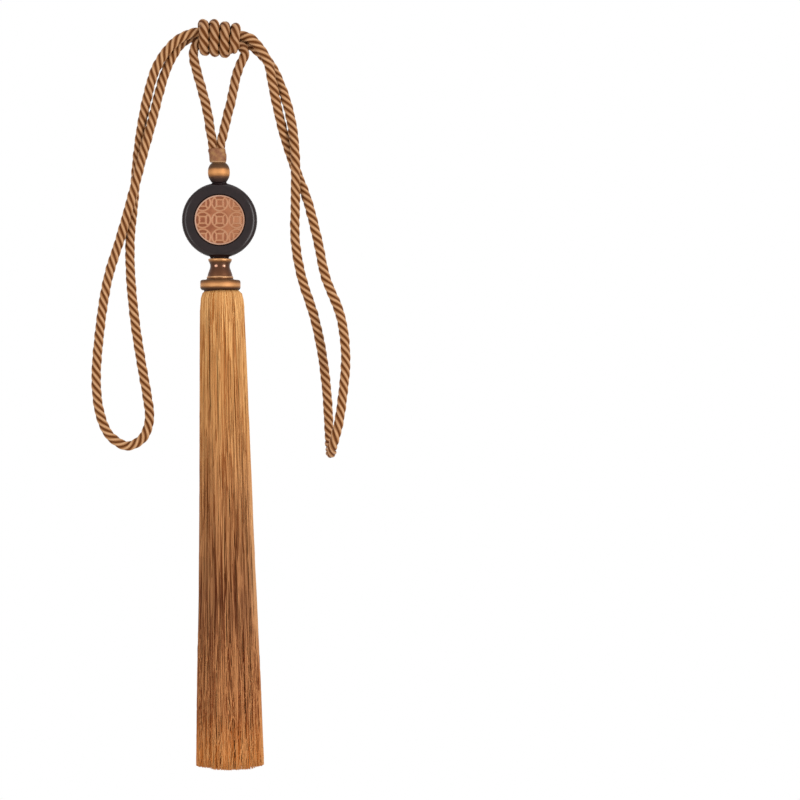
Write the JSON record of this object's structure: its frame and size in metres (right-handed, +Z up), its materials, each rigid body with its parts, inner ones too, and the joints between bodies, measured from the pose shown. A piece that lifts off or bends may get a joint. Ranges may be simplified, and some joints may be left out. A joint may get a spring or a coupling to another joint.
{
  "type": "curtain tieback tassel",
  "caption": "Curtain tieback: twisted cord with hanging loops and a wrapped knot, which carries a bead, a round plaque with a carved insert, a turned collar and a long thread skirt.",
  "frame": {"origin": "middle of the wrapped knot's top, where the tieback hangs", "axes": "+Z up along the hanging tassel, the carved face of the plaque towards -Y, +X to the viewer's right"},
  "size_m": [0.2184, 0.0524, 0.6361],
  "materials": {
    "cord_yarn": "twisted satin yarn",
    "binding_thread": "wound thread",
    "gilt_wood": "antique gold, satin",
    "black_lacquer": "black lacquer, satin",
    "copper_finish": "carved, copper painted, matt",
    "antique_copper": "dark antique copper, satin",
    "skirt_thread": "silky rayon thread"
  },
  "bodies": {
    "root": {"embrace_cord": "cord_yarn", "hanger_cord": "cord_yarn", "knot_wraps": "cord_yarn", "binding": "binding_thread", "bead": "gilt_wood", "disc": "black_lacquer", "coin_insert": "copper_finish", "collar": "antique_copper", "base_ring": "gilt_wood", "skirt": "skirt_thread"}
  },
  "joints": []
}
